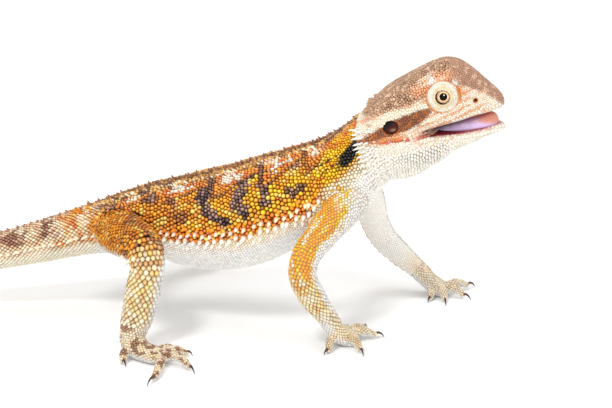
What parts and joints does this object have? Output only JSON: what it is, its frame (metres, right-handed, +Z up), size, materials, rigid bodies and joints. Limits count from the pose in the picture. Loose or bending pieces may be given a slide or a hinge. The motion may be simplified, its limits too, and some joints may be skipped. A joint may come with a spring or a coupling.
{
  "type": "bearded dragon model",
  "caption": "Life-size still model of a young bearded dragon standing on its four feet, head raised and mouth a little open.",
  "frame": {"origin": "middle of the bounding box in plan, on the floor under the feet and tail", "axes": "+X towards the head, +Y towards the animal's left side, +Z up"},
  "size_m": [0.2901, 0.1186, 0.0833],
  "materials": {
    "back_skin": "matt",
    "face_skin": "matt",
    "pale_skin": "matt",
    "limb_skin": "matt",
    "tongue": "gloss",
    "eye": "gloss",
    "eardrum": "satin"
  },
  "bodies": {
    "root": {"head": "face_skin", "lower_jaw": "pale_skin", "neck": "back_skin", "torso": "back_skin", "tail_1": "back_skin", "tail_2": "back_skin", "tail_3": "back_skin", "tail_4": "back_skin", "upper_arm_left": "limb_skin", "forearm_left": "limb_skin", "hand_left": "limb_skin", "thigh_left": "limb_skin", "shank_left": "limb_skin", "foot_left": "limb_skin", "upper_arm_right": "limb_skin", "forearm_right": "limb_skin", "hand_right": "limb_skin", "thigh_right": "limb_skin", "shank_right": "limb_skin", "foot_right": "limb_skin", "eye_left": "eye", "ear_left": "eardrum", "eye_right": "eye", "ear_right": "eardrum", "tongue": "tongue"}
  },
  "joints": []
}
